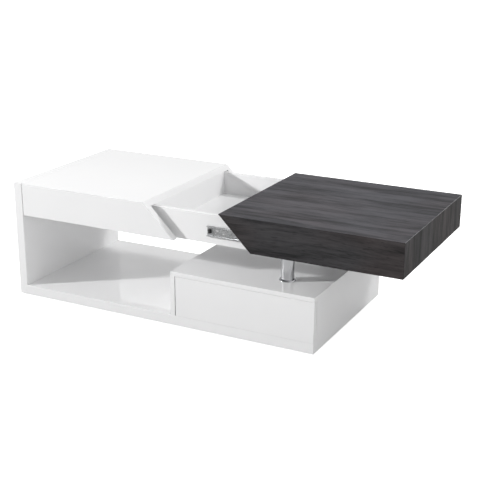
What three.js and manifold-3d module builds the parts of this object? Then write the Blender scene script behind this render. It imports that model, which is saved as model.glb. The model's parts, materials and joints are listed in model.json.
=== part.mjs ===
// Sliding-top coffee table: a fixed white block and storage tray on a floor board and drawer base,
// with a wood-grain lid that runs along the tray on ball-bearing slides. Millimetres, +Z up.
// X runs from the left end panel to the lid's right end, Y from the front face to the back face.
import * as THREE from 'three';
import { mergeVertices } from 'three/addons/utils/BufferGeometryUtils.js';
import Module from 'manifold-3d';

const wasm = await Module();
wasm.setup();

// Overall size, with the lid closed.
const LENGTH = 1182;
const DEPTH = 600;
const HEIGHT = 425;
const GLIDE_HEIGHT = 3;

// The lid stands open by LID_TRAVEL; closed, its slanted end is LID_CLEARANCE from the block's.
const LID_TRAVEL = 286;
const LID_CLEARANCE = 1;

// Board thicknesses.
const END_PANEL = 34;
const FLOOR_BOARD = 36;
const TOP_PANEL = 16;
const APRON = 25;
const CARCASS = 16;
const BASE_TOP = 15;
const BLOCK_BOTTOM = 12;
const TRAY_FLOOR = 18;
const DRAWER_FRONT = 18;
const DRAWER_SIDE = 12;
const DRAWER_BOTTOM = 5;

// Levels above the floor.
const BOARD_TOP = GLIDE_HEIGHT + FLOOR_BOARD;
const BASE_HEIGHT = 197;
const APRON_BOTTOM = 308;
const TRAY_BOTTOM = 306;
const TRAY_TOP = 407;
const PANEL_UNDERSIDE = HEIGHT - TOP_PANEL;

// Places along the length.
const BLOCK_END = 548;
const REVEAL = 4;
const BASE_START = 650;
const TRAY_START = BLOCK_END;
const TRAY_END = 1148;
const LID_START = BLOCK_END + LID_CLEARANCE + LID_TRAVEL;
const LID_END = LENGTH + LID_TRAVEL;

// Slides: height, thickness and sheet gauge of the nested steel channels.
const SLIDE_GAP = 13;
const GAUGE = 1.2;
const LID_SLIDE = { start: 775, length: 300, height: 35, level: 350 };
const DRAWER_SLIDE = { start: 22, length: 450, height: 45, level: 110 };
const END_STOP = { inset: 6, length: 10, height: 13, reach: 7.5 };
const SCREW = { head: 4, headHeight: 1.2, shank: 1.75, length: 12, hole: 2.1 };
const SCREW_STATIONS = [85, 250];

// Posts between the base and the tray.
const POST_X = 1035;
const POST_INSET = 112;
const POST_RADIUS = 22.5;
const POST_WALL = 1.5;
const FLANGE_RADIUS = 28;
const FLANGE = 4;

// Drawer.
// The front covers the right side's edge; gaps are left beside, below, above and behind it.
const DRAWER_GAP = { left: 3, below: 0.6, above: 1.2, behind: 2 };
const DRAWER_BACK_END = 560;
const DRAWER_BOX = { bottom: 55, top: 155, floor: 60 };

// Glides under the floor board.
const GLIDE_RADIUS = 13;
const GLIDE_INSET = 45;

const TRAY_FRONT = APRON + SLIDE_GAP;

const finish = (color, roughness, metalness) => new THREE.MeshStandardMaterial({ color, roughness, metalness });
const WHITE_LACQUER = finish(0xf2f2f3, 0.12, 0);
const DARK_OAK = finish(0x4c4b50, 0.55, 0);
const CHROME = finish(0xd9dadc, 0.08, 1);
const ZINC_STEEL = finish(0x9fa2a6, 0.35, 1);
const BLACK_PLASTIC = finish(0x1c1c1e, 0.6, 0);
const DRAWER_BOARD = finish(0xe9e8e4, 0.45, 0);
const GREY_FELT = finish(0x8b8983, 0.95, 0);

function named(name, geometry, material, x = 0, y = 0, z = 0) {
  const mesh = new THREE.Mesh(geometry, material);
  mesh.name = name;
  mesh.position.set(x, y, z);
  return mesh;
}

// A board between two corners. `shape` moves each of its eight corners, for mitres and slanted ends.
function board(name, material, [x0, x1], [y0, y1], [z0, z1], shape) {
  const middle = new THREE.Vector3((x0 + x1) / 2, (y0 + y1) / 2, (z0 + z1) / 2);
  const geometry = new THREE.BoxGeometry(x1 - x0, y1 - y0, z1 - z0);
  if (shape) {
    const position = geometry.attributes.position;
    for (let i = 0; i < position.count; i += 1) {
      const corner = new THREE.Vector3().fromBufferAttribute(position, i).add(middle);
      shape(corner);
      corner.sub(middle);
      position.setXYZ(i, corner.x, corner.y, corner.z);
    }
    geometry.computeVertexNormals();
  }
  return named(name, geometry, material, middle.x, middle.y, middle.z);
}

function toSolid(geometry) {
  const bare = geometry.clone();
  bare.deleteAttribute('normal');
  bare.deleteAttribute('uv');
  const merged = mergeVertices(bare, 1e-4);
  return new wasm.Manifold(new wasm.Mesh({
    numProp: 3,
    vertProperties: Float32Array.from(merged.attributes.position.array),
    triVerts: Uint32Array.from(merged.index.array),
  }));
}

function cut(geometry, cutters) {
  let solid = toSolid(geometry);
  for (const cutter of cutters) solid = solid.subtract(toSolid(cutter));
  const mesh = solid.getMesh();
  const result = new THREE.BufferGeometry();
  result.setAttribute('position', new THREE.BufferAttribute(mesh.vertProperties, 3));
  result.setIndex(new THREE.BufferAttribute(mesh.triVerts, 1));
  result.computeVertexNormals();
  return result;
}

// A cylinder whose axis is Y, between two places on it.
function pinAlongY(radius, x, [y0, y1], z) {
  const geometry = new THREE.CylinderGeometry(radius, radius, y1 - y0, 16);
  geometry.translate(x, (y0 + y1) / 2, z);
  return geometry;
}

// Fixed structure -------------------------------------------------------------------------------

const slantAt = (start, z) => start + HEIGHT - z;
const mitreLevel = (y) => (y < APRON || y > DEPTH - APRON ? HEIGHT : PANEL_UNDERSIDE);

function floorAndEnd() {
  const group = new THREE.Group();
  group.add(
    board('left_end_panel', WHITE_LACQUER, [0, END_PANEL], [0, DEPTH], [GLIDE_HEIGHT, HEIGHT]),
    board('floor_board', WHITE_LACQUER, [END_PANEL, LENGTH], [0, DEPTH], [GLIDE_HEIGHT, BOARD_TOP]),
  );
  const glide = new THREE.CylinderGeometry(GLIDE_RADIUS, GLIDE_RADIUS, GLIDE_HEIGHT, 24).rotateX(Math.PI / 2);
  const stations = { left: END_PANEL + GLIDE_INSET, middle: LENGTH / 2, right: LENGTH - GLIDE_INSET };
  for (const [place, x] of Object.entries(stations)) {
    group.add(named(`glide_front_${place}`, glide, GREY_FELT, x, GLIDE_INSET, GLIDE_HEIGHT / 2));
    group.add(named(`glide_rear_${place}`, glide, GREY_FELT, x, DEPTH - GLIDE_INSET, GLIDE_HEIGHT / 2));
  }
  return group;
}

// Top panel of the block or lid: mitred to its aprons, slanted at its left or right end.
const blockTopShape = (corner) => {
  const low = corner.z < HEIGHT;
  if (low) corner.y = corner.y === 0 ? APRON : DEPTH - APRON;
  if (corner.x > END_PANEL) corner.x = slantAt(BLOCK_END, corner.z);
};

const blockApronShape = (corner) => {
  if (corner.z > APRON_BOTTOM) corner.z = corner.y === 0 || corner.y === DEPTH ? HEIGHT : PANEL_UNDERSIDE;
  if (corner.x > END_PANEL + REVEAL) corner.x = slantAt(BLOCK_END, corner.z);
};

function whiteBlock() {
  const group = new THREE.Group();
  const inside = [APRON, DEPTH - APRON];
  const apronLength = [END_PANEL + REVEAL, BLOCK_END];
  const cheekEnd = END_PANEL + CARCASS;
  const battenLength = [TRAY_START, TRAY_START + 52];
  const battenHeight = [APRON_BOTTOM, APRON_BOTTOM + 52];
  group.add(
    board('block_top_panel', WHITE_LACQUER, [END_PANEL, BLOCK_END], [0, DEPTH],
      [PANEL_UNDERSIDE, HEIGHT], blockTopShape),
    board('block_front_apron', WHITE_LACQUER, apronLength, [0, APRON], [APRON_BOTTOM, HEIGHT], blockApronShape),
    board('block_rear_apron', WHITE_LACQUER, apronLength, [DEPTH - APRON, DEPTH],
      [APRON_BOTTOM, HEIGHT], blockApronShape),
    board('block_left_cheek', WHITE_LACQUER, [END_PANEL, cheekEnd], inside, [APRON_BOTTOM, PANEL_UNDERSIDE]),
    board('block_bottom_panel', WHITE_LACQUER, [cheekEnd, TRAY_START], inside,
      [APRON_BOTTOM, APRON_BOTTOM + BLOCK_BOTTOM]),
    board('block_front_batten', WHITE_LACQUER, battenLength, [APRON, TRAY_FRONT], battenHeight),
    board('block_rear_batten', WHITE_LACQUER, battenLength, [DEPTH - TRAY_FRONT, DEPTH - APRON], battenHeight),
  );
  return group;
}

// Storage tray ----------------------------------------------------------------------------------

function trayWall(name, faceY, outward) {
  const wallY = [Math.min(faceY, faceY - outward * CARCASS), Math.max(faceY, faceY - outward * CARCASS)];
  const wall = board(name, WHITE_LACQUER, [TRAY_START, TRAY_END], wallY, [TRAY_BOTTOM, TRAY_TOP]);
  const bottomOfHole = faceY - outward * (SCREW.length + 1);
  const holes = SCREW_STATIONS.map((station) => {
    const hole = pinAlongY(SCREW.hole, LID_SLIDE.start + station,
      [Math.min(faceY + outward, bottomOfHole), Math.max(faceY + outward, bottomOfHole)], LID_SLIDE.level);
    return hole.translate(-wall.position.x, -wall.position.y, -wall.position.z);
  });
  wall.geometry = cut(wall.geometry, holes);
  return wall;
}

function tray() {
  const group = new THREE.Group();
  const inside = [TRAY_FRONT + CARCASS, DEPTH - TRAY_FRONT - CARCASS];
  const bay = [TRAY_START + CARCASS, TRAY_END - CARCASS];
  group.add(
    trayWall('tray_front_wall', TRAY_FRONT, -1),
    trayWall('tray_rear_wall', DEPTH - TRAY_FRONT, 1),
    board('tray_left_wall', WHITE_LACQUER, [TRAY_START, bay[0]], inside, [TRAY_BOTTOM, PANEL_UNDERSIDE]),
    board('tray_right_wall', WHITE_LACQUER, [bay[1], TRAY_END], inside, [TRAY_BOTTOM, TRAY_TOP]),
    board('tray_floor', WHITE_LACQUER, bay, inside, [TRAY_BOTTOM, TRAY_BOTTOM + TRAY_FLOOR]),
  );
  return group;
}

// Posts -----------------------------------------------------------------------------------------

function post(place, y) {
  const group = new THREE.Group();
  const bottom = BASE_HEIGHT + FLANGE;
  const top = TRAY_BOTTOM - FLANGE;
  const tube = new THREE.LatheGeometry([
    new THREE.Vector2(POST_RADIUS - POST_WALL, bottom),
    new THREE.Vector2(POST_RADIUS, bottom),
    new THREE.Vector2(POST_RADIUS, top),
    new THREE.Vector2(POST_RADIUS - POST_WALL, top),
    new THREE.Vector2(POST_RADIUS - POST_WALL, bottom),
  ], 48).rotateX(Math.PI / 2);
  const rim = 1.5;
  const flange = new THREE.LatheGeometry([
    new THREE.Vector2(0, 0),
    new THREE.Vector2(FLANGE_RADIUS, 0),
    new THREE.Vector2(FLANGE_RADIUS, FLANGE - rim),
    new THREE.Vector2(FLANGE_RADIUS - rim, FLANGE),
    new THREE.Vector2(0, FLANGE),
  ], 48).rotateX(Math.PI / 2);
  const topFlange = named(`${place}_post_top_flange`, flange, CHROME, POST_X, y, TRAY_BOTTOM);
  topFlange.rotation.x = Math.PI;
  group.add(
    named(`${place}_post_tube`, tube, CHROME, POST_X, y, 0),
    named(`${place}_post_base_flange`, flange, CHROME, POST_X, y, BASE_HEIGHT),
    topFlange,
  );
  return group;
}

// Drawer base -----------------------------------------------------------------------------------

function drawerBase() {
  const group = new THREE.Group();
  const sideHeight = [BOARD_TOP, BASE_HEIGHT - BASE_TOP];
  const inner = [BASE_START + CARCASS, LENGTH - CARCASS];
  group.add(
    board('base_top', WHITE_LACQUER, [BASE_START, LENGTH], [0, DEPTH], [BASE_HEIGHT - BASE_TOP, BASE_HEIGHT]),
    board('base_left_side', WHITE_LACQUER, [BASE_START, inner[0]], [0, DEPTH], sideHeight),
    board('base_right_side', WHITE_LACQUER, [inner[1], LENGTH], [DRAWER_FRONT + DRAWER_GAP.behind, DEPTH], sideHeight),
    board('base_back', WHITE_LACQUER, inner, [DEPTH - CARCASS, DEPTH], sideHeight),
  );
  return group;
}

function drawer() {
  const group = new THREE.Group();
  const opening = [BASE_START + CARCASS, LENGTH - CARCASS];
  const front = [opening[0] + DRAWER_GAP.left, LENGTH];
  const frontHeight = [BOARD_TOP + DRAWER_GAP.below, BASE_HEIGHT - BASE_TOP - DRAWER_GAP.above];
  const box = [opening[0] + SLIDE_GAP, opening[1] - SLIDE_GAP];
  const inner = [box[0] + DRAWER_SIDE, box[1] - DRAWER_SIDE];
  const height = [DRAWER_BOX.bottom, DRAWER_BOX.top];
  const length = [DRAWER_FRONT, DRAWER_BACK_END];
  const backStart = DRAWER_BACK_END - DRAWER_SIDE;
  group.add(
    board('drawer_front', WHITE_LACQUER, front, [0, DRAWER_FRONT], frontHeight),
    board('drawer_left_side', DRAWER_BOARD, [box[0], inner[0]], length, height),
    board('drawer_right_side', DRAWER_BOARD, [inner[1], box[1]], length, height),
    board('drawer_back', DRAWER_BOARD, inner, [backStart, DRAWER_BACK_END], height),
    board('drawer_bottom', DRAWER_BOARD, inner, [DRAWER_FRONT, backStart],
      [DRAWER_BOX.floor, DRAWER_BOX.floor + DRAWER_BOTTOM]),
  );
  return group;
}

// Lid -------------------------------------------------------------------------------------------

const lidTopShape = (corner) => {
  const low = corner.z < HEIGHT;
  if (low) corner.y = corner.y === 0 ? APRON : DEPTH - APRON;
  if (corner.x < LID_END) corner.x = slantAt(LID_START, corner.z);
  else if (low) corner.x = LID_END - APRON;
};

const lidApronShape = (corner) => {
  const outer = corner.y === 0 || corner.y === DEPTH;
  if (corner.z > APRON_BOTTOM) corner.z = outer ? HEIGHT : PANEL_UNDERSIDE;
  if (corner.x < LID_END) corner.x = slantAt(LID_START, corner.z);
  else if (!outer) corner.x = LID_END - APRON;
};

const lidEndShape = (corner) => {
  if (corner.x === LID_END) return;
  corner.y = corner.y === 0 ? APRON : DEPTH - APRON;
  if (corner.z > APRON_BOTTOM) corner.z = PANEL_UNDERSIDE;
};

function lid() {
  const group = new THREE.Group();
  const height = [APRON_BOTTOM, HEIGHT];
  group.add(
    board('lid_top_panel', DARK_OAK, [LID_START, LID_END], [0, DEPTH], [PANEL_UNDERSIDE, HEIGHT], lidTopShape),
    board('lid_front_apron', DARK_OAK, [LID_START, LID_END], [0, APRON], height, lidApronShape),
    board('lid_rear_apron', DARK_OAK, [LID_START, LID_END], [DEPTH - APRON, DEPTH], height, lidApronShape),
    board('lid_right_end', DARK_OAK, [LID_END - APRON, LID_END], [0, DEPTH], height, lidEndShape),
  );
  return group;
}

// Ball-bearing slides ---------------------------------------------------------------------------
// Each slide's own frame: X along its travel, Y out from the board it is screwed to, Z up.

// A channel section with its web at `back` and its flanges reaching to `tips`.
function channel(length, height, back, tips) {
  const away = Math.sign(tips - back);
  const half = height / 2;
  const outline = new THREE.Shape();
  outline.moveTo(back, -half + GAUGE);
  outline.quadraticCurveTo(back, -half, back + away * GAUGE, -half);
  outline.lineTo(tips, -half);
  outline.lineTo(tips, -half + GAUGE);
  outline.lineTo(back + away * GAUGE, -half + GAUGE);
  outline.lineTo(back + away * GAUGE, half - GAUGE);
  outline.lineTo(tips, half - GAUGE);
  outline.lineTo(tips, half);
  outline.lineTo(back + away * GAUGE, half);
  outline.quadraticCurveTo(back, half, back, half - GAUGE);
  outline.closePath();
  const geometry = new THREE.ExtrudeGeometry(outline, { depth: length, bevelEnabled: false, curveSegments: 4 });
  const axes = new THREE.Matrix4().makeBasis(
    new THREE.Vector3(0, 1, 0), new THREE.Vector3(0, 0, 1), new THREE.Vector3(1, 0, 0));
  return geometry.applyMatrix4(axes);
}

const FIXED_TIPS = 10;
const MIDDLE_BACK = 2.6;
const MIDDLE_TIPS = 11.2;
const MOVING_TIPS = 5.2;
const NESTING = 6;

// The three nested members. `shift` is how far the moving member stands out; the middle one follows at half.
function slideMembers(name, length, height, shift, startInset) {
  const group = new THREE.Group();
  const running = length - startInset;
  group.add(
    named(`${name}_fixed_member`, channel(length, height, 0, FIXED_TIPS), ZINC_STEEL),
    named(`${name}_middle_member`, channel(running, height - NESTING, MIDDLE_BACK, MIDDLE_TIPS),
      ZINC_STEEL, startInset + shift / 2),
    named(`${name}_moving_member`, channel(running, height - 2 * NESTING, SLIDE_GAP, MOVING_TIPS),
      ZINC_STEEL, startInset + shift),
  );
  return group;
}

function slideScrew(name, station) {
  const screw = new THREE.LatheGeometry([
    new THREE.Vector2(0, -SCREW.length),
    new THREE.Vector2(SCREW.shank, -SCREW.length + 2),
    new THREE.Vector2(SCREW.shank, GAUGE),
    new THREE.Vector2(SCREW.head, GAUGE),
    new THREE.Vector2(SCREW.head - 0.6, GAUGE + SCREW.headHeight),
    new THREE.Vector2(0, GAUGE + SCREW.headHeight),
  ], 16);
  return named(name, screw, ZINC_STEEL, station, 0, 0);
}

function lidSlide(place) {
  const name = `lid_slide_${place}`;
  const clearOfStop = END_STOP.inset + END_STOP.length + 1;
  const group = slideMembers(name, LID_SLIDE.length, LID_SLIDE.height, LID_TRAVEL, clearOfStop);
  const fixed = group.children[0];
  const holes = SCREW_STATIONS.map((station) => pinAlongY(SCREW.hole, station, [-1, GAUGE + 1], 0));
  fixed.geometry = cut(fixed.geometry, holes);
  const stop = new THREE.BoxGeometry(END_STOP.length, END_STOP.reach, END_STOP.height);
  group.add(named(`${name}_end_stop`, stop, BLACK_PLASTIC,
    END_STOP.inset + END_STOP.length / 2, GAUGE + END_STOP.reach / 2, 0));
  SCREW_STATIONS.forEach((station, i) => group.add(slideScrew(`${name}_screw_${i + 1}`, station)));
  const isFront = place === 'front';
  group.position.set(LID_SLIDE.start, isFront ? TRAY_FRONT : DEPTH - TRAY_FRONT, LID_SLIDE.level);
  group.rotation.x = isFront ? Math.PI : 0;
  return group;
}

function drawerSlide(place) {
  const group = slideMembers(`drawer_slide_${place}`, DRAWER_SLIDE.length, DRAWER_SLIDE.height, 0, 0);
  const rearEnd = DRAWER_SLIDE.start + DRAWER_SLIDE.length;
  if (place === 'left') {
    group.position.set(BASE_START + CARCASS, rearEnd, DRAWER_SLIDE.level);
    group.rotation.set(0, 0, -Math.PI / 2);
  } else {
    group.position.set(LENGTH - CARCASS, rearEnd, DRAWER_SLIDE.level);
    group.rotation.set(Math.PI, 0, Math.PI / 2);
  }
  return group;
}

// The whole table, with its origin on the floor under the middle of its open length.
const table = new THREE.Group();
table.position.set(-LID_END / 2, -DEPTH / 2, 0);
table.add(
  floorAndEnd(), whiteBlock(), tray(), post('front', POST_INSET), post('rear', DEPTH - POST_INSET),
  drawerBase(), drawer(), lid(),
  lidSlide('front'), lidSlide('rear'), drawerSlide('left'), drawerSlide('right'),
);

export default table;
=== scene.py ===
"""Sliding-top coffee table in gloss white lacquer and charcoal wood grain."""
import json
import math

import bmesh
import bpy
from mathutils import Matrix, Vector

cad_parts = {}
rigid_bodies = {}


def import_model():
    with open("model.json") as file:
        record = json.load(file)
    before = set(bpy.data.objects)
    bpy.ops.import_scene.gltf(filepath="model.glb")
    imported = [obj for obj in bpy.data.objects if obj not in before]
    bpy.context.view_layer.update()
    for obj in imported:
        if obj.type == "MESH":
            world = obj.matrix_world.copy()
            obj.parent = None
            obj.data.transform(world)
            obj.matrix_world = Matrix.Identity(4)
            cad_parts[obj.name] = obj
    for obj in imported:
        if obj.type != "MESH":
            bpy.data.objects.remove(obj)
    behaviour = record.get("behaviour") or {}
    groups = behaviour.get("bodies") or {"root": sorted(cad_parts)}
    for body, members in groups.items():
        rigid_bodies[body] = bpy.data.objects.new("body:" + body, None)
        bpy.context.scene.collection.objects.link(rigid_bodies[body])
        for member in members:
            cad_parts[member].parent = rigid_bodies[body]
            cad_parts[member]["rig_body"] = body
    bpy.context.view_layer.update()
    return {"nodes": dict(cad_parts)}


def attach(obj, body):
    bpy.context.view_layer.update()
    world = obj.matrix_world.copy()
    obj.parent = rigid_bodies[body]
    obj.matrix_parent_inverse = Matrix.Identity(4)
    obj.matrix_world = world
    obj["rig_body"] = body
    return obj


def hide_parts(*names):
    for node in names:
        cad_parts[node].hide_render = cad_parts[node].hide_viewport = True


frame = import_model()

MM = 0.001
X, Y, Z = Vector((1, 0, 0)), Vector((0, 1, 0)), Vector((0, 0, 1))
BODY_OF = {name: node["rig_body"] for name, node in frame["nodes"].items()}

# Sizes in millimetres: x from the left end, y from the front edge, z from the floor.
DEPTH = 600
PANEL = 34
FLOOR_END = 1182
GLIDE = 3
BOARD_TOP = GLIDE + 36
BOARD = 16
BASE_LEFT = 650
BASE_TOP = 197
BASE_TOP_UNDERSIDE = BASE_TOP - 15
APRON = 25
APRON_BOTTOM = 308
TOP_LEVEL = 425
UNDERSIDE = TOP_LEVEL - BOARD
BLOCK_RIGHT = 548

# How far the lid stands open, and its place then. Closed, it leaves a joint beside the block.
LID_TRAVEL = 286
LID_JOINT = 1
LID_LEFT = BLOCK_RIGHT + LID_JOINT + LID_TRAVEL
LID_RIGHT = FLOOR_END + LID_TRAVEL
MIDDLE = (LID_RIGHT / 2, DEPTH / 2)

# The room that a ball-bearing slide takes between two boards.
SLIDE_ROOM = 13
TRAY_FRONT = APRON + SLIDE_ROOM
TRAY_REAR = DEPTH - TRAY_FRONT
TRAY_RIGHT = 1148
TRAY_BOTTOM = APRON_BOTTOM - 2
TRAY_TOP = UNDERSIDE - 2


# ---------------------------------------------------------------- camera

def aim_camera():
    """A long lens at standing height, in front of the drawer and well to its right."""
    place = (1.642, -3.107, 1.396)
    turned, tipped_down, rolled = (math.radians(angle) for angle in (27.48, 18.30, 0.12))
    data = bpy.data.cameras.new("camera")
    data.sensor_width = 36
    data.lens = 77.66
    camera = bpy.data.objects.new("camera", data)
    turn = Matrix.Rotation(turned, 4, "Z")
    tilt = Matrix.Rotation(math.radians(90) - tipped_down, 4, "X")
    roll = Matrix.Rotation(rolled, 4, "Z")
    camera.matrix_world = Matrix.Translation(place) @ turn @ tilt @ roll
    bpy.context.scene.collection.objects.link(camera)
    bpy.context.scene.camera = camera


# ---------------------------------------------------------------- material tools

class Finish:
    """A material and the nodes that make it, wired with short calls."""

    def __init__(self, name, **sockets):
        self.material = bpy.data.materials.new(name)
        self.material.use_nodes = True
        self.tree = self.material.node_tree
        self.shader = self.tree.nodes["Principled BSDF"]
        for socket, value in sockets.items():
            self.shader.inputs[socket.replace("_", " ")].default_value = value

    def node(self, kind, inputs=None, **settings):
        made = self.tree.nodes.new("ShaderNode" + kind)
        for setting, value in settings.items():
            setattr(made, setting, value)
        for socket, value in (inputs or {}).items():
            if isinstance(value, bpy.types.NodeSocket):
                self.tree.links.new(value, made.inputs[socket])
            else:
                made.inputs[socket].default_value = value
        return made

    def place(self, scale=(1, 1, 1)):
        """Object coordinates, scaled."""
        here = self.node("TexCoord").outputs["Object"]
        return self.node("Mapping", {"Vector": here, "Scale": scale}).outputs["Vector"]

    def noise(self, vector, scale, detail=3, rough=0.5, distortion=0):
        inputs = {
            "Vector": vector, "Scale": scale, "Detail": detail,
            "Roughness": rough, "Distortion": distortion,
        }
        return self.node("TexNoise", inputs).outputs["Fac"]

    def ramp(self, factor, *stops):
        """Colours or grey levels at positions along a factor."""
        made = self.node("ValToRGB", {"Fac": factor})
        elements = made.color_ramp.elements
        while len(elements) < len(stops):
            elements.new(0.5)
        for element, (position, colour) in zip(elements, stops):
            element.position = position
            element.color = (*colour, 1) if isinstance(colour, tuple) else (colour, colour, colour, 1)
        return made.outputs["Color"]

    def maths(self, operation, a, b):
        return self.node("Math", {0: a, 1: b}, operation=operation).outputs[0]

    def mix(self, factor, a, b, blend="MIX"):
        made = self.node("Mix", {0: factor, 6: a, 7: b}, data_type="RGBA", blend_type=blend)
        return made.outputs[2]

    def bump(self, height, strength, distance):
        made = self.node("Bump", {"Height": height, "Strength": strength, "Distance": distance})
        self.feed("Normal", made.outputs["Normal"])

    def feed(self, socket, output):
        self.tree.links.new(output, self.shader.inputs[socket])


# ---------------------------------------------------------------- materials

def white_lacquer():
    finish = Finish("white_lacquer", IOR=1.5)
    cloud = finish.noise(finish.place(), 2.5, 2)
    cooler, whiter = (0.905, 0.905, 0.91), (0.925, 0.925, 0.928)
    finish.feed("Base Color", finish.ramp(cloud, (0.3, cooler), (0.7, whiter)))
    haze = finish.noise(finish.place(), 14, 4, 0.6)
    finish.feed("Roughness", finish.ramp(haze, (0.35, 0.015), (0.7, 0.035)))
    finish.bump(finish.noise(finish.place(), 60, 2), 0.03, 0.0004)
    return finish.material


def grain(name, along, dark, light, warm, rough=(0.56, 0.46), index=1.3):
    """Charcoal wood-grain foil whose streaks run along one axis and waver a little."""
    finish = Finish(name, IOR=index)
    axis = "XYZ".index(along)

    def drawn_out(length):
        return tuple(length if i == axis else 1.0 for i in range(3))

    sway_reach = (0.045, 0.045, 0.045)
    slow = {"Vector": finish.place(drawn_out(0.45)), "Scale": 4.5, "Detail": 2}
    drift = finish.node("TexNoise", slow).outputs["Color"]
    sway = finish.node("VectorMath", {0: drift, 1: sway_reach}, operation="MULTIPLY").outputs["Vector"]
    here = finish.node("TexCoord").outputs["Object"]
    bent = finish.node("VectorMath", {0: here, 1: sway}, operation="ADD").outputs["Vector"]

    def streaks(length, scale, detail, rough):
        stretched = finish.node("Mapping", {"Vector": bent, "Scale": drawn_out(length)})
        return finish.noise(stretched.outputs["Vector"], scale, detail, rough)

    bands = finish.ramp(streaks(0.11, 26, 5, 0.62), (0.36, 0.0), (0.64, 1.0))
    lines = finish.ramp(streaks(0.07, 120, 3, 0.6), (0.34, 0.0), (0.66, 1.0))
    fibres = finish.ramp(streaks(0.05, 520, 2, 0.5), (0.3, 0.0), (0.7, 1.0))
    tone = finish.maths("MULTIPLY", bands, 0.55)
    tone = finish.maths("ADD", tone, finish.maths("MULTIPLY", lines, 0.27))
    tone = finish.maths("ADD", tone, finish.maths("MULTIPLY", fibres, 0.18))
    middle = tuple(0.45 * low + 0.55 * high for low, high in zip(dark, light))
    colour = finish.ramp(tone, (0.18, dark), (0.5, middle), (0.82, light))
    patches = finish.ramp(finish.noise(finish.place(drawn_out(0.5)), 5, 2), (0.42, 0.0), (0.62, 1.0))
    colour = finish.mix(patches, colour, finish.mix(1.0, colour, (*warm, 1), "MULTIPLY"))
    pits = finish.ramp(streaks(0.09, 330, 1, 0.5), (0.30, 0.55), (0.37, 1.0))
    finish.feed("Base Color", finish.mix(1.0, colour, pits, "MULTIPLY"))
    finish.feed("Roughness", finish.ramp(tone, (0.2, rough[0]), (0.8, rough[1])))
    raised, sunk = (finish.maths("MULTIPLY", pattern, 0.6) for pattern in (lines, pits))
    finish.bump(finish.maths("ADD", raised, sunk), 0.22, 0.0004)
    return finish.material


def chrome():
    finish = Finish("chrome", Metallic=1.0)
    finish.shader.inputs["Base Color"].default_value = (0.63, 0.635, 0.65, 1)
    smear = finish.noise(finish.place((1, 1, 0.25)), 60, 3)
    finish.feed("Roughness", finish.ramp(smear, (0.35, 0.03), (0.7, 0.07)))
    return finish.material


def zinc_steel():
    finish = Finish("zinc_steel", Metallic=1.0)
    spangle = finish.node("TexVoronoi", {"Vector": finish.place(), "Scale": 320}).outputs["Color"]
    dull, bright = (0.30, 0.305, 0.31), (0.54, 0.545, 0.55)
    finish.feed("Base Color", finish.ramp(spangle, (0.2, dull), (0.8, bright)))
    rolled = finish.noise(finish.place((0.05, 1, 1)), 900, 3)
    finish.feed("Roughness", finish.ramp(rolled, (0.3, 0.42), (0.7, 0.54)))
    finish.bump(rolled, 0.08, 0.0002)
    return finish.material


def black_plastic():
    finish = Finish("black_plastic", IOR=1.46)
    texture = finish.noise(finish.place(), 1400, 2)
    black, worn = (0.010, 0.010, 0.011), (0.020, 0.020, 0.021)
    finish.feed("Base Color", finish.ramp(texture, (0.3, black), (0.7, worn)))
    finish.feed("Roughness", finish.ramp(texture, (0.3, 0.45), (0.7, 0.6)))
    finish.bump(texture, 0.2, 0.0002)
    return finish.material


def drawer_board():
    finish = Finish("drawer_board", IOR=1.45)
    paper = finish.noise(finish.place(), 500, 3)
    cream, white = (0.76, 0.755, 0.735), (0.80, 0.795, 0.775)
    finish.feed("Base Color", finish.ramp(paper, (0.3, cream), (0.7, white)))
    finish.feed("Roughness", finish.ramp(paper, (0.3, 0.42), (0.7, 0.55)))
    finish.bump(paper, 0.15, 0.0002)
    return finish.material


def grey_felt():
    finish = Finish("grey_felt")
    finish.shader.inputs["Roughness"].default_value = 1.0
    fibres = finish.noise(finish.place(), 2400, 4, 0.7, 1.2)
    deep, pale = (0.17, 0.165, 0.155), (0.33, 0.32, 0.30)
    finish.feed("Base Color", finish.ramp(fibres, (0.3, deep), (0.7, pale)))
    finish.bump(fibres, 0.8, 0.0006)
    return finish.material


# Tones of the lid's one charcoal foil, as lit and shaded copies: lightest on its top, darker with
# painted shade on its long aprons, darkest with painted shade on its right end; and the painted
# highlight on its top-right edge.
CHARCOAL = {
    "dark": (0.021, 0.0207, 0.0243), "light": (0.074, 0.073, 0.085), "warm": (1.03, 0.95, 0.93),
}
# Painted shade: the aprons' foil is a darker copy of the top's, for the shade on these upright faces.
CHARCOAL_APRON_PAINTED_SHADE = {
    "dark": (0.010, 0.0098, 0.0106), "light": (0.052, 0.050, 0.053), "warm": (1.05, 0.93, 0.89),
}
# Painted shade: the right end's foil is darker still, for the shade on that face.
CHARCOAL_END_PAINTED_SHADE = {
    "dark": (0.003, 0.0028, 0.0029), "light": (0.038, 0.0355, 0.037), "warm": (1.05, 0.93, 0.89),
}
# Painted highlight: a far lighter foil on the lid's top-right rounded edge, standing in for the light
# caught there.
PAINTED_EDGE_HIGHLIGHT = {
    "dark": (0.20, 0.20, 0.21), "light": (0.42, 0.42, 0.44), "warm": (1.0, 1.0, 1.0),
}
FINISHES = {
    "white_lacquer": white_lacquer(),
    "grain_along": grain("grain_along", "X", **CHARCOAL),
    "grain_apron_painted_shade": grain("grain_apron_painted_shade", "X", **CHARCOAL_APRON_PAINTED_SHADE),
    "grain_upright_painted_shade": grain("grain_upright_painted_shade", "Z", **CHARCOAL_END_PAINTED_SHADE),
    "grain_painted_highlight": grain("grain_painted_highlight", "Y", **PAINTED_EDGE_HIGHLIGHT, rough=(0.30, 0.22), index=1.5),
    "chrome": chrome(),
    "zinc_steel": zinc_steel(),
    "black_plastic": black_plastic(),
    "drawer_board": drawer_board(),
    "grey_felt": grey_felt(),
}


# ---------------------------------------------------------------- mesh tools

# Two points closer than this, in metres, are one.
NEAR = 1e-7


def at(x, y, z):
    """A place in metres from the table's own millimetres."""
    return Vector(((x - MIDDLE[0]) * MM, (y - MIDDLE[1]) * MM, z * MM))


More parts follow.
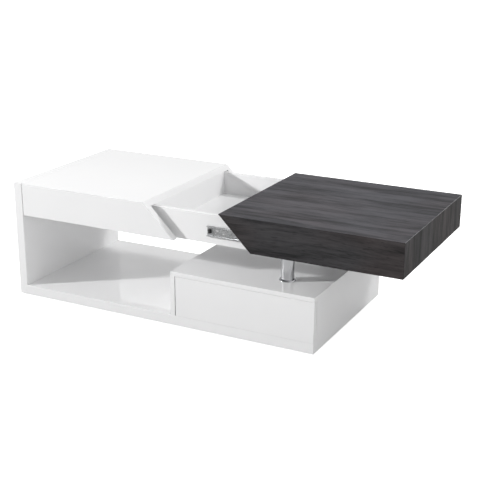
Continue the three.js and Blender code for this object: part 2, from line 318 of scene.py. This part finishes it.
def put_up(name, bm, finish, nodes, turned=False):
    """Finishes a mesh as a piece that stands for its CAD nodes and rides on their body."""
    bmesh.ops.recalc_face_normals(bm, faces=bm.faces)
    mesh = bpy.data.meshes.new(name)
    bm.to_mesh(mesh)
    bm.free()
    if turned:
        mesh.shade_smooth()
        mesh.set_sharp_from_angle(angle=math.radians(32))
    for part in finish if isinstance(finish, tuple) else (finish,):
        mesh.materials.append(FINISHES[part])
    piece = bpy.data.objects.new(name, mesh)
    bpy.context.scene.collection.objects.link(piece)
    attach(piece, BODY_OF[nodes[0]])
    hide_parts(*nodes)


def round_edges(bm, radius, wanted=lambda middle: True):
    """Rounds the solid's edges whose middles are wanted, and shades the roundings smooth."""
    least_fold = math.radians(20)
    edges = [
        edge for edge in bm.edges
        if edge.calc_face_angle(0) > least_fold
        and wanted((edge.verts[0].co + edge.verts[1].co) / 2)
    ]
    made = bmesh.ops.bevel(
        bm, geom=edges, offset=radius * MM, affect="EDGES", segments=3,
        profile=0.5, material=-1, clamp_overlap=True,
    )
    for face in made["faces"]:
        face.smooth = True


def saw(bm, point, outward):
    """Cuts away what lies beyond a plane and closes the cut."""
    geometry = bm.verts[:] + bm.edges[:] + bm.faces[:]
    bmesh.ops.bisect_plane(
        bm, geom=geometry, dist=NEAR, plane_co=point, plane_no=outward, clear_outer=True,
    )
    rim = [edge for edge in bm.edges if edge.is_boundary]
    if rim:
        closed = bmesh.ops.holes_fill(bm, edges=rim, sides=0)
        for face in closed["faces"]:
            face.smooth = False


def carve(name, blank, cuts, finish):
    """A board sawn from a rounded blank, so that neighbouring boards share one unbroken edge."""
    bm = blank.copy()
    for point, outward in cuts:
        saw(bm, at(*point), Vector(outward).normalized())
    put_up(name, bm, finish, [name])


def block_of(x, y, z, slant_from=None):
    """A box; the end at slant_from may lean at 45 degrees, from that place at the top's level."""
    bm = bmesh.new()
    bmesh.ops.create_cube(bm, size=1)
    for vert in bm.verts:
        corner = [span[0] if vert.co[i] < 0 else span[1] for i, span in enumerate((x, y, z))]
        if slant_from is not None and corner[0] == slant_from:
            corner[0] = slant_from + TOP_LEVEL - corner[2]
        vert.co = at(*corner)
    return bm


def rounded_board(name, x, y, z, radius, finish="white_lacquer", wanted=lambda middle: True):
    bm = block_of(x, y, z)
    round_edges(bm, radius, wanted)
    put_up(name, bm, finish, [name])


def turn(profile, place, steps=96):
    """Spins a closed outline of (radius, height) in millimetres about an upright axis."""
    bm = bmesh.new()
    verts = [bm.verts.new(at(place[0] + radius, place[1], height)) for radius, height in profile]
    loop = list(zip(verts, verts[1:] + verts[:1]))
    edges = [bm.edges.new(pair) for pair in loop if not on_axis(pair, place)]
    bmesh.ops.spin(
        bm, geom=verts + edges, cent=at(place[0], place[1], 0), axis=Z,
        angle=math.tau, steps=steps, use_merge=True,
    )
    bmesh.ops.remove_doubles(bm, verts=bm.verts, dist=NEAR)
    return bm


def on_axis(pair, place):
    middle = at(place[0], place[1], 0)
    return all((vert.co - middle).xy.length < NEAR for vert in pair)


# ---------------------------------------------------------------- fixed boards

UP, DOWN, RIGHT, LEFT, BACK, FRONT = Z, -Z, X, -X, Y, -Y

# The slopes of the mitres where a top meets its aprons.
FRONT_MITRE = ((0, 0, TOP_LEVEL), (0, TOP_LEVEL - UNDERSIDE, APRON))
REAR_MITRE = ((0, DEPTH, TOP_LEVEL), (0, UNDERSIDE - TOP_LEVEL, APRON))
BEHIND_FRONT_APRON = ((0, APRON, 0), BACK)
BEFORE_REAR_APRON = ((0, DEPTH - APRON, 0), FRONT)
BELOW_TOP_BOARD = ((0, 0, UNDERSIDE), DOWN)


def flipped(cut):
    return (cut[0], tuple(-part for part in cut[1]))


def end_panel_and_floor():
    rounded_board("left_end_panel", (0, PANEL), (0, DEPTH), (GLIDE, TOP_LEVEL), 1.4)
    bm = block_of((PANEL, FLOOR_END), (0, DEPTH), (GLIDE, BOARD_TOP))
    bmesh.ops.bisect_plane(
        bm, geom=bm.verts[:] + bm.edges[:] + bm.faces[:], dist=NEAR,
        plane_co=at(BASE_LEFT, 0, 0), plane_no=X,
    )
    under_base = at(BASE_LEFT + 1, 0, BOARD_TOP - 1)
    round_edges(bm, 0.7, lambda middle: middle.x < under_base.x or middle.z < under_base.z)
    put_up("floor_board", bm, "white_lacquer", ["floor_board"])
    pad_outline = [(0, 0), (12.4, 0), (13, 0.6), (13, 2.6), (12.6, GLIDE), (0, GLIDE)]
    inset = 45
    across = {"front": inset, "rear": DEPTH - inset}
    along = {"left": PANEL + inset, "middle": FLOOR_END / 2, "right": FLOOR_END - inset}
    for side, y in across.items():
        for place, x in along.items():
            name = f"glide_{side}_{place}"
            put_up(name, turn(pad_outline, (x, y), 48), "grey_felt", [name], turned=True)


def white_block():
    blank = block_of(
        (PANEL, BLOCK_RIGHT), (0, DEPTH), (APRON_BOTTOM, TOP_LEVEL), slant_from=BLOCK_RIGHT,
    )
    round_edges(blank, 1.0)
    beside_panel = ((PANEL + 4, 0, 0), LEFT)
    carve("block_top_panel", blank, [
        BELOW_TOP_BOARD, flipped(FRONT_MITRE), flipped(REAR_MITRE),
    ], "white_lacquer")
    carve("block_front_apron", blank, [
        BEHIND_FRONT_APRON, FRONT_MITRE, beside_panel,
    ], "white_lacquer")
    carve("block_rear_apron", blank, [
        BEFORE_REAR_APRON, REAR_MITRE, beside_panel,
    ], "white_lacquer")
    blank.free()
    inside = (APRON, DEPTH - APRON)
    cheek_right, bottom_thick = PANEL + BOARD, 12
    batten_end, batten_top = 600, 360
    rounded_board("block_left_cheek", (PANEL, cheek_right), inside, (APRON_BOTTOM, UNDERSIDE), 0.5)
    bottom = (APRON_BOTTOM, APRON_BOTTOM + bottom_thick)
    rounded_board("block_bottom_panel", (cheek_right, BLOCK_RIGHT), inside, bottom, 0.3)
    for name, y in (
        ("block_front_batten", (APRON, TRAY_FRONT)),
        ("block_rear_batten", (TRAY_REAR, DEPTH - APRON)),
    ):
        rounded_board(name, (BLOCK_RIGHT, batten_end), y, (APRON_BOTTOM, batten_top), 0.6)


def tray():
    front, rear = TRAY_FRONT + BOARD, TRAY_REAR - BOARD
    left, right = BLOCK_RIGHT + BOARD, TRAY_RIGHT - BOARD
    floor_top = TRAY_BOTTOM + 18
    inside, height = (front, rear), (TRAY_BOTTOM, TRAY_TOP)
    rounded_board("tray_left_wall", (BLOCK_RIGHT, left), inside, (TRAY_BOTTOM, UNDERSIDE), 0.3)
    rounded_board("tray_right_wall", (right, TRAY_RIGHT), inside, height, 0.6)
    rounded_board("tray_floor", (left, right), inside, (TRAY_BOTTOM, floor_top), 0.3)
    for name, y in (("tray_front_wall", (TRAY_FRONT, front)), ("tray_rear_wall", (rear, TRAY_REAR))):
        rounded_board(name, (BLOCK_RIGHT, TRAY_RIGHT), y, height, 0.8)


def drawer_base():
    hidden = 9
    blank = block_of((BASE_LEFT, FLOOR_END), (0, DEPTH), (BOARD_TOP - hidden, BASE_TOP))
    round_edges(blank, 0.9)
    below_top = ((0, 0, BASE_TOP_UNDERSIDE), UP)
    on_board = ((0, 0, BOARD_TOP), DOWN)
    left, right = BASE_LEFT + BOARD, FLOOR_END - BOARD
    behind_drawer_front = ((0, 20, 0), FRONT)
    carve("base_top", blank, [((0, 0, BASE_TOP_UNDERSIDE), DOWN)], "white_lacquer")
    carve("base_left_side", blank, [below_top, on_board, ((left, 0, 0), RIGHT)], "white_lacquer")
    carve("base_right_side", blank, [
        below_top, on_board, ((right, 0, 0), LEFT), behind_drawer_front,
    ], "white_lacquer")
    carve("base_back", blank, [
        below_top, on_board, ((left, 0, 0), LEFT), ((right, 0, 0), RIGHT),
        ((0, DEPTH - BOARD, 0), FRONT),
    ], "white_lacquer")
    blank.free()


def posts():
    along, inset = 1035, 112
    wall, fillet, flange = 1.5, 0.3, 4
    radius, foot, head = 22.5, BASE_TOP + flange, TRAY_BOTTOM - flange
    bore = radius - wall
    tube = [
        (bore, foot + fillet), (bore + fillet, foot), (radius - fillet, foot), (radius, foot + fillet),
        (radius, head - fillet), (radius - fillet, head), (bore + fillet, head), (bore, head - fillet),
    ]
    rim = [
        (0, 0), (27.6, 0), (28, 0.4), (28, 2.4), (27.6, 3.2), (26.6, 3.8), (25.4, flange), (0, flange),
    ]
    base_flange = [(reach, BASE_TOP + height) for reach, height in rim]
    top_flange = [(reach, TRAY_BOTTOM - height) for reach, height in rim]
    for side, y in (("front", inset), ("rear", DEPTH - inset)):
        for part, outline in (("tube", tube), ("base_flange", base_flange), ("top_flange", top_flange)):
            name = f"{side}_post_{part}"
            put_up(name, turn(outline, (along, y)), "chrome", [name], turned=True)


# ---------------------------------------------------------------- drawer

def drawer():
    front_left, front_back = BASE_LEFT + BOARD + 3, 18
    front_bottom, front_top = BOARD_TOP + 0.6, BASE_TOP_UNDERSIDE - 1.2
    above_foot = at(0, 0, front_bottom + 2.4).z
    rounded_board(
        "drawer_front", (front_left, FLOOR_END), (0, front_back), (front_bottom, front_top), 0.9,
        wanted=lambda middle: middle.z > above_foot,
    )
    board = 12
    beside_base = BOARD + SLIDE_ROOM + board
    left, right, back = BASE_LEFT + beside_base, FLOOR_END - beside_base, 548
    depth, height = (front_back, back + board), (55, 155)
    rounded_board("drawer_left_side", (left - board, left), depth, height, 0.8, "drawer_board")
    rounded_board("drawer_right_side", (right, right + board), depth, height, 0.8, "drawer_board")
    rounded_board("drawer_back", (left, right), (back, back + board), height, 0.8, "drawer_board")
    rounded_board("drawer_bottom", (left, right), (front_back, back), (60, 65), 0.2, "drawer_board")


# ---------------------------------------------------------------- lid

def lid():
    blank = block_of((LID_LEFT, LID_RIGHT), (0, DEPTH), (APRON_BOTTOM, TOP_LEVEL), slant_from=LID_LEFT)
    round_edges(blank, 1.5)
    # Rounding faces that lean up and to the right get slot 1, the painted-highlight foil; all other
    # faces keep the plain foil.
    highlight_lean = 0.3
    for face in blank.faces:
        face.normal_update()
        face.material_index = int(face.normal.x > highlight_lean and face.normal.z > highlight_lean)
    end_mitre = ((LID_RIGHT, 0, TOP_LEVEL), (TOP_LEVEL - UNDERSIDE, 0, -APRON))
    front_corner = ((LID_RIGHT, 0, 0), (1, 1, 0))
    rear_corner = ((LID_RIGHT, DEPTH, 0), (1, -1, 0))
    carve("lid_top_panel", blank, [
        BELOW_TOP_BOARD, flipped(FRONT_MITRE), flipped(REAR_MITRE), end_mitre,
    ], ("grain_along", "grain_painted_highlight"))
    carve("lid_front_apron", blank, [
        BEHIND_FRONT_APRON, FRONT_MITRE, front_corner,
    ], ("grain_apron_painted_shade", "grain_painted_highlight"))
    carve("lid_rear_apron", blank, [
        BEFORE_REAR_APRON, REAR_MITRE, rear_corner,
    ], ("grain_apron_painted_shade", "grain_painted_highlight"))
    carve("lid_right_end", blank, [
        ((LID_RIGHT - APRON, 0, 0), LEFT), flipped(end_mitre), flipped(front_corner),
        flipped(rear_corner),
    ], ("grain_upright_painted_shade", "grain_painted_highlight"))
    blank.free()


# ---------------------------------------------------------------- ball-bearing slides

# The thickness of the sheet.
GAUGE = 1.2


class SlideFrame:
    """A slide's own directions: along its travel, out from the board it is screwed to, and up."""

    def __init__(self, origin, along, out):
        self.origin, self.along, self.out = at(*origin), along, out

    def place(self, along, out, up):
        return self.origin + (self.along * along + self.out * out + Z * up) * MM


def folded_strip(bm, slide, centres, start, end):
    """Sheet folded along a line of (out, up) centres and run from start to end along the slide."""
    outer, inner = [], []
    for i, (out, up) in enumerate(centres):
        before = Vector(centres[max(i - 1, 0)])
        after = Vector(centres[min(i + 1, len(centres) - 1)])
        heading = (after - before).normalized()
        side = Vector((-heading.y, heading.x)) * GAUGE / 2
        outer.append((out + side.x, up + side.y))
        inner.append((out - side.x, up - side.y))
    outline = outer + inner[::-1]
    section = bm.faces.new([bm.verts.new(slide.place(start, out, up)) for out, up in outline])
    far = draw_out(bm, [section], slide.along * (end - start) * MM)
    ends = {section} | {part for part in far if isinstance(part, bmesh.types.BMFace)}
    for vert in section.verts:
        for face in vert.link_faces:
            face.smooth = face not in ends


def draw_out(bm, faces, shift):
    """Extrudes flat faces into a closed solid and gives back its far side."""
    made = bmesh.ops.extrude_face_region(bm, geom=faces, use_keep_orig=True)["geom"]
    verts = [part for part in made if isinstance(part, bmesh.types.BMVert)]
    bmesh.ops.translate(bm, verts=verts, vec=shift)
    return made


def hole_ring(along, up, radius, stretch=0, points=20):
    """Points round a round or long hole."""
    ring = []
    for i in range(points):
        angle = math.tau * (i + 0.5) / points
        shift = stretch / 2 * (1 if math.cos(angle) > 0 else -1)
        ring.append((along + shift + radius * math.cos(angle), up + radius * math.sin(angle)))
    return ring


def punched_web(bm, slide, start, end, half_height, out, holes):
    """The flat of a channel, from start to end along the slide, with holes punched through it."""
    corners = [(start, -half_height), (end, -half_height), (end, half_height), (start, half_height)]
    edges = []
    for loop in [corners] + holes:
        verts = [bm.verts.new(slide.place(along, out[0], up)) for along, up in loop]
        edges += [bm.edges.new(pair) for pair in zip(verts, verts[1:] + verts[:1])]
    flat = bmesh.ops.triangle_fill(bm, edges=edges, use_beauty=True, use_dissolve=False)
    faces = [part for part in flat["geom"] if isinstance(part, bmesh.types.BMFace)]
    draw_out(bm, faces, slide.out * (out[1] - out[0]) * MM)


def fixed_section(half):
    """Upper fold of the member that is screwed down: shoulder, ball race and lip."""
    return [(0.6, half - 2.6), (0.8, half - 1.7), (1.5, half - 0.9), (2.6, half - 0.6),
            (4.2, half - 0.7), (5.6, half - 1.0), (7.0, half - 0.7), (8.2, half - 0.65),
            (9.0, half - 1.0), (9.35, half - 1.7), (9.35, half - 2.2)]


def middle_section(half):
    """Upper fold of the member that runs between the other two."""
    return [(3.2, half - 2.4), (3.4, half - 1.5), (4.1, half - 0.8), (5.1, half - 0.6),
            (6.4, half - 1.1), (7.6, half - 0.7), (9.2, half - 0.6), (10.1, half - 0.9),
            (10.55, half - 1.5), (10.55, half - 2.1)]


def moving_section(half):
    """Upper fold of the member that is screwed to the moving board."""
    return [(12.4, half - 2.4), (12.2, half - 1.5), (11.5, half - 0.8), (10.5, half - 0.6),
            (9.2, half - 0.6), (7.8, half - 0.6), (6.8, half - 0.7), (6.1, half - 1.1),
            (5.85, half - 1.7), (5.85, half - 2.2)]


# For each kind of member: its fold, and where the back and the face of its web stand.
MEMBERS = {
    "fixed": (fixed_section, (0, GAUGE)),
    "middle": (middle_section, (2.6, 2.6 + GAUGE)),
    "moving": (moving_section, (SLIDE_ROOM - GAUGE, SLIDE_ROOM)),
}


def slide_member(slide_name, kind, slide, half, start, end, holes):
    name = f"{slide_name}_{kind}_member"
    section, web = MEMBERS[kind]
    bm = bmesh.new()
    for flip in (1, -1):
        folded_strip(bm, slide, [(out, up * flip) for out, up in section(half)], start, end)
    punched_web(bm, slide, start, end, half - 2.5, web, holes)
    put_up(name, bm, "zinc_steel", [name])


def pan_screw(name, slide, along):
    """A pan-head screw with a cross pressed into its head and a pointed shank."""
    tip, shoulder, crown, recess_depth, recess_taper = -12, -10, 2.4, 1.0, 0.8
    shank, head = 1.75, 4
    bm = bmesh.new()
    outline = [
        (0, tip), (shank, shoulder), (shank, GAUGE), (head, GAUGE),
        (head, 1.6), (3.75, 2.05), (3.2, crown),
    ]
    verts = [bm.verts.new(slide.place(along + radius, out, 0)) for radius, out in outline]
    edges = [bm.edges.new(pair) for pair in zip(verts, verts[1:])]
    bmesh.ops.spin(
        bm, geom=verts + edges, cent=slide.place(along, 0, 0), axis=slide.out,
        angle=math.tau, steps=24, use_merge=True,
    )
    bmesh.ops.remove_doubles(bm, verts=bm.verts, dist=NEAR)
    rim = [edge for edge in bm.edges if edge.is_boundary]
    arm, reach = 0.55, 2.3
    cross = [
        (reach, -arm), (reach, arm), (arm, arm), (arm, reach), (-arm, reach), (-arm, arm),
        (-reach, arm), (-reach, -arm), (-arm, -arm), (-arm, -reach), (arm, -reach), (arm, -arm),
    ]
    mouth = [bm.verts.new(slide.place(along + across, crown, up)) for across, up in cross]
    lips = [bm.edges.new(pair) for pair in zip(mouth, mouth[1:] + mouth[:1])]
    bmesh.ops.triangle_fill(bm, edges=rim + lips, use_beauty=True, use_dissolve=False)
    pressed = bmesh.ops.extrude_edge_only(bm, edges=lips)["geom"]
    floor = [part for part in pressed if isinstance(part, bmesh.types.BMVert)]
    bmesh.ops.translate(bm, verts=floor, vec=slide.out * -recess_depth * MM)
    middle = Matrix.Translation(-slide.place(along, 0, 0))
    bmesh.ops.scale(bm, verts=floor, vec=(recess_taper, 1, recess_taper), space=middle)
    open_edges = [edge for edge in bm.edges if edge.is_boundary]
    bmesh.ops.holes_fill(bm, edges=open_edges, sides=0)
    put_up(name, bm, "zinc_steel", [name], turned=True)


def end_stop(name, slide):
    """A moulded stop that plugs the channel's end, with its edges rounded."""
    middle, size = (11, 4.95, 0), (10, 7.5, 13)
    bm = bmesh.new()
    bmesh.ops.create_cube(bm, size=1)
    for vert in bm.verts:
        along, out, up = (m + part * span for m, part, span in zip(middle, vert.co, size))
        vert.co = slide.place(along, out, up)
    bmesh.ops.recalc_face_normals(bm, faces=bm.faces)
    round_edges(bm, 1.2)
    put_up(name, bm, "black_plastic", [name])


def lid_slides():
    half = 17.5
    start, length, rise = 775, 300, 350
    set_back = 17
    run = length - set_back
    middle_start, moving_start = set_back + LID_TRAVEL / 2, set_back + LID_TRAVEL
    screws = (85, 250)
    fixed_holes = [
        hole_ring(36, 3.6, 1.8, 8), hole_ring(60, -4.5, 1.8, 6), hole_ring(112, 0, 2.4, 14),
        hole_ring(150, 4, 2.2), hole_ring(180, -4, 2.2), hole_ring(214, 0, 2.4, 14),
        hole_ring(280, 0, 2.2),
    ] + [hole_ring(place, 0, 2.1) for place in screws]
    middle_holes = [hole_ring(place, 0, 2.2) for place in (172, 235, 300, 360, 425)]
    moving_holes = [hole_ring(place, 0, 2.0, 4) for place in (330, 400, 470, 560)]
    for side, board, out in (("front", TRAY_FRONT, FRONT), ("rear", TRAY_REAR, BACK)):
        slide = SlideFrame((start, board, rise), RIGHT, out)
        name = f"lid_slide_{side}"
        slide_member(name, "fixed", slide, half, 0, length, fixed_holes)
        slide_member(name, "middle", slide, half - 3, middle_start, middle_start + run, middle_holes)
        slide_member(name, "moving", slide, half - 6, moving_start, moving_start + run, moving_holes)
        end_stop(f"{name}_end_stop", slide)
        for number, place in enumerate(screws, 1):
            pan_screw(f"{name}_screw_{number}", slide, place)


def drawer_slides():
    half = 22.5
    front_end, length, rise = 22, 450, 110
    fixed_holes = [hole_ring(place, 0, 2.2, 8) for place in (30, 90, 200, 310, 415)]
    middle_holes = [hole_ring(place, 0, 3.0) for place in (60, 180, 300, 400)]
    moving_holes = [hole_ring(place, 0, 2.0, 5) for place in (45, 160, 290, 405)]
    left, right = BASE_LEFT + BOARD, FLOOR_END - BOARD
    for side, board, out in (("left", left, RIGHT), ("right", right, LEFT)):
        slide = SlideFrame((board, front_end + length, rise), FRONT, out)
        name = f"drawer_slide_{side}"
        slide_member(name, "fixed", slide, half, 0, length, fixed_holes)
        slide_member(name, "middle", slide, half - 3, 0, length, middle_holes)
        slide_member(name, "moving", slide, half - 6, 0, length, moving_holes)


# ---------------------------------------------------------------- lights, floor

# Each light: its place and its aim, its width and height, all in metres, and its power.
LIGHTS = {
    "key": ((-3.8, -2.65, 2.0), (0, 0, 0.3), (0.34, 0.34), 8.2),
    "high_right": ((1.95, 1.50, 3.1), (0, 0, 0.3), (0.7, 0.7), 3.15),
    "backdrop": ((-1.5, 6.5, 1.8), (0, 0, 0.6), (9, 3.6), 1.85),
}
# The room's own light: direction, how tightly it gathers there, and strength.
ROOM = {
    "ceiling": ((0, 0, 1), 2, 0.54),
    "right": ((1, 0, 0.2), 3, 1.6),
    "below": ((0, 0, -1), 0.1, 1.35),
}
# How bright the room behind the table looks.
BACKGROUND_WHITE = 1.3
# The floor: how pale it looks, how much it throws back on the table, and its glow.
FLOOR_PALE = 0.96
FLOOR_BOUNCE = 0.6
FLOOR_GLOW = 0.75


def lamp(name, place, aim, size, power):
    """A softbox whose light doesn't weaken with distance, like a far one."""
    data = bpy.data.lights.new(name, "AREA")
    data.energy = power
    data.shape = "RECTANGLE"
    data.size, data.size_y = size
    data.use_nodes = True
    nodes = data.node_tree.nodes
    falloff = nodes.new("ShaderNodeLightFalloff")
    falloff.inputs["Strength"].default_value = 1
    data.node_tree.links.new(falloff.outputs["Constant"], nodes["Emission"].inputs["Strength"])
    light = bpy.data.objects.new(name, data)
    light.location = place
    light.rotation_euler = (Vector(aim) - Vector(place)).to_track_quat("-Z", "Y").to_euler()
    bpy.context.scene.collection.objects.link(light)


def room_light():
    """A white room: even light, and more of it from chosen sides."""
    world = bpy.data.worlds.new("studio")
    world.use_nodes = True
    tree = world.node_tree

    def maths(operation, *values):
        node = tree.nodes.new("ShaderNodeMath")
        node.operation = operation
        for socket, value in zip(node.inputs, values):
            if isinstance(value, bpy.types.NodeSocket):
                tree.links.new(value, socket)
            else:
                socket.default_value = value
        return node.outputs[0]

    looking = tree.nodes.new("ShaderNodeTexCoord").outputs["Generated"]
    total = 0.0
    for direction, tightness, strength in ROOM.values():
        facing = tree.nodes.new("ShaderNodeVectorMath")
        facing.operation = "DOT_PRODUCT"
        tree.links.new(looking, facing.inputs[0])
        facing.inputs[1].default_value = Vector(direction).normalized()
        gathered = maths("POWER", maths("MAXIMUM", facing.outputs["Value"], 0.0), tightness)
        total = maths("ADD", total, maths("MULTIPLY", gathered, strength))
    in_sight = tree.nodes.new("ShaderNodeLightPath").outputs["Is Camera Ray"]
    total = maths("MAXIMUM", total, maths("MULTIPLY", in_sight, BACKGROUND_WHITE))
    background = tree.nodes["Background"]
    background.inputs["Color"].default_value = (1, 1, 1, 1)
    tree.links.new(total, background.inputs["Strength"])
    bpy.context.scene.world = world


def studio():
    floor_radius = 4
    bm = bmesh.new()
    bmesh.ops.create_circle(bm, cap_ends=True, segments=96, radius=floor_radius)
    mesh = bpy.data.meshes.new("floor")
    bm.to_mesh(mesh)
    bm.free()
    pale = Finish("pale_floor", Roughness=0.9)
    in_sight = pale.node("LightPath").outputs["Is Camera Ray"]
    bounced, looks = ((shade, shade, shade, 1) for shade in (FLOOR_BOUNCE, FLOOR_PALE))
    pale.feed("Base Color", pale.mix(in_sight, bounced, looks))
    pale.feed("Emission Strength", pale.maths("MULTIPLY", in_sight, FLOOR_GLOW))
    pale.shader.inputs["Emission Color"].default_value = (1, 1, 1, 1)
    mesh.materials.append(pale.material)
    floor = bpy.data.objects.new("floor", mesh)
    bpy.context.scene.collection.objects.link(floor)
    for name, (place, aim, size, power) in LIGHTS.items():
        lamp(name, place, aim, size, power)
    room_light()
    bpy.context.scene.view_settings.view_transform = "Standard"


aim_camera()
studio()
end_panel_and_floor()
white_block()
tray()
drawer_base()
posts()
drawer()
lid()
lid_slides()
drawer_slides()
